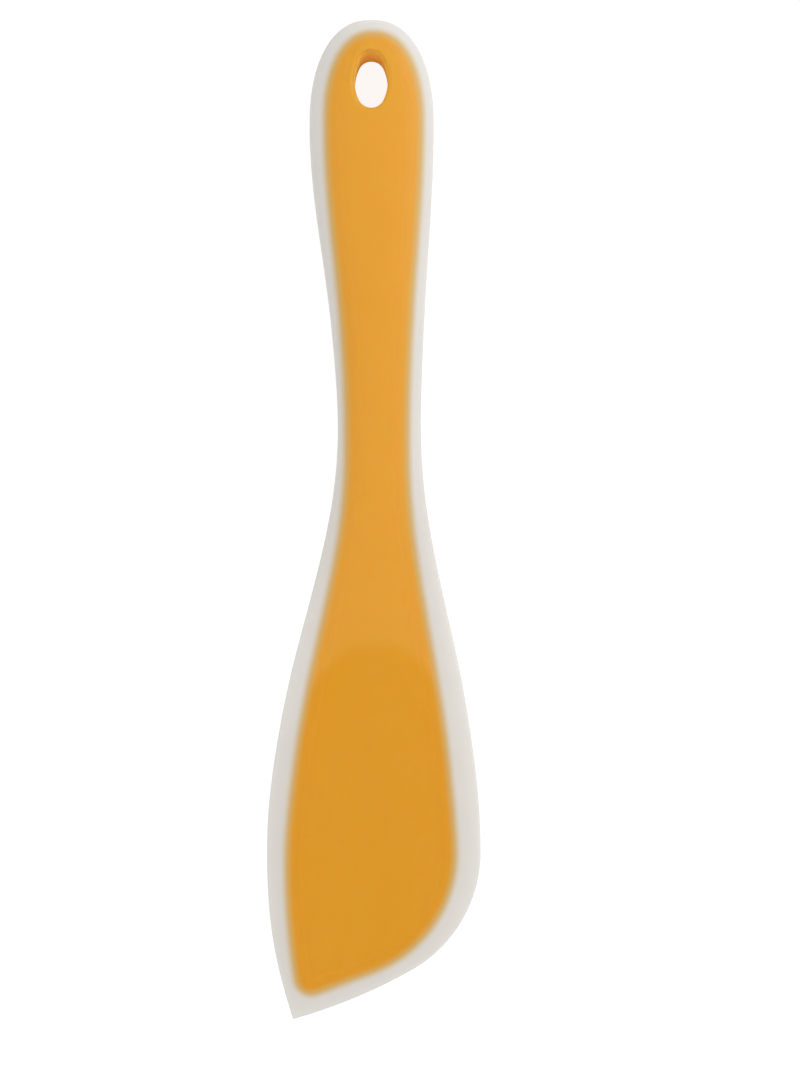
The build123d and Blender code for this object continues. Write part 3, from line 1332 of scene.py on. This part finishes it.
@dataclass
class Studio:
    """A white table under soft light from the right, seen from straight above."""

    camera_height: float = 0.6
    view_height: float = 0.30376
    view_centre: Flat = (0.0075, -0.00324)
    middle_plane: float = 0.0063
    ambient: float = 0.87
    mirrored: float = 0.25
    key_power: float = 1.8
    key_reach: float = 0.9
    key_lean: float = 0.9
    key_turn: float = 0.6
    lamp_size: float = 0.35
    sensor_height: float = 24.0
    table_reach: float = 3.0
    table_glow: float = 0.84
    table_paint: Colour = (0.86, 0.86, 0.86, 1.0)
    table_seen: Colour = (0.24, 0.24, 0.24, 1.0)
    table_roughness: float = 0.7
    table_specular: float = 0.1

    def floor(self) -> bpy.types.Object:
        """The table: a wide white square, whose glow for the eye keeps it white round the tool.

        Returns:
            The floor's object.
        """
        mesh = bpy.data.meshes.new("white_table")
        ring = [(across * self.table_reach, along * self.table_reach, 0.0) for across, along in SQUARE]
        mesh.from_pydata(ring, [], [range(len(ring))])
        table = bpy.data.objects.new("white_table", mesh)
        bpy.context.scene.collection.objects.link(table)
        material = bpy.data.materials.new("white_table")
        material.use_nodes = True
        wiring = Wiring(material.node_tree)
        path = wiring.node("LightPath", {})
        mirrored = wiring.math("MAXIMUM", path["Is Camera Ray"], path["Is Glossy Ray"])
        seen = wiring.math("MAXIMUM", mirrored, path["Is Transmission Ray"])
        values = {
            "Base Color": wiring.mix(seen, self.table_paint, self.table_seen),
            "Roughness": self.table_roughness,
            "Specular IOR Level": self.table_specular,
            "Emission Color": WHITE,
            "Emission Strength": wiring.math("MULTIPLY", seen, self.table_glow),
        }
        wiring.feed(material.node_tree.nodes["Principled BSDF"].inputs, values)
        mesh.materials.append(material)
        table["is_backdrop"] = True
        return table

    def light(self) -> None:
        """An even white surround, dimmer in mirrors, and one broad lamp from the right."""
        world = bpy.data.worlds.new("studio")
        bpy.context.scene.world = world
        world.use_nodes = True
        wiring = Wiring(world.node_tree)
        path = wiring.node("LightPath", {})
        dimmed = wiring.spread(path["Is Glossy Ray"], WHOLE, (self.ambient, self.mirrored))
        level = wiring.spread(path["Is Camera Ray"], WHOLE, (dimmed, 1.0))
        wiring.feed(world.node_tree.nodes["Background"].inputs, {"Color": WHITE, "Strength": level})
        lamp = bpy.data.lights.new("key", "AREA")
        lamp.shape = "SQUARE"
        lamp.size = self.lamp_size
        lamp.energy = self.key_power
        key = bpy.data.objects.new("key", lamp)
        aside, up = self.key_reach * math.sin(self.key_lean), self.key_reach * math.cos(self.key_lean)
        key.location = (aside * math.cos(self.key_turn), aside * math.sin(self.key_turn), up)
        key.rotation_euler = (0.0, self.key_lean, self.key_turn)
        bpy.context.scene.collection.objects.link(key)

    def camera(self) -> None:
        """A camera straight above, whose frame at the tool's middle plane is the photograph's."""
        eye = bpy.data.cameras.new("eye")
        eye.sensor_fit = "VERTICAL"
        eye.sensor_height = self.sensor_height
        eye.lens = eye.sensor_height * self.camera_height / self.view_height
        place = bpy.data.objects.new("eye", eye)
        place.location = (*self.view_centre, self.middle_plane + self.camera_height)
        bpy.context.scene.collection.objects.link(place)
        bpy.context.scene.camera = place

    def build(self) -> None:
        """Sets up the table, the light and the camera."""
        self.floor()
        self.light()
        self.camera()
        bpy.context.scene.view_settings.view_transform = "Standard"


def main() -> None:
    """Builds the two pieces, dresses them, and sets them on the white table."""
    logging.basicConfig(level=logging.INFO, format="%(message)s")
    lay, effects = Lay(), Effects()
    skin, core = SiliconeSkin(), NylonCore()
    skin_piece, shift = skin.build(lay, core.outline())
    core_piece = core.build(lay, skin.outline())
    dressed = (
        (skin_piece, "silicone_skin", FrostedSilicone()),
        (core_piece, "nylon_core", MatteNylon()),
    )
    for piece, node, finish in dressed:
        set_down(piece, shift)
        piece.data.materials.append(finish.build(effects))
        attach(piece, "root")
        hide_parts(node)
        log.info("%s: %d faces", piece.name, len(piece.data.polygons))
    Studio().build()
    boxes = {"cad": cad_box, "visual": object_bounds()}
    {name: [list(corner) for corner in box] for name, box in boxes.items()}


if __name__ == "__main__":
    main()
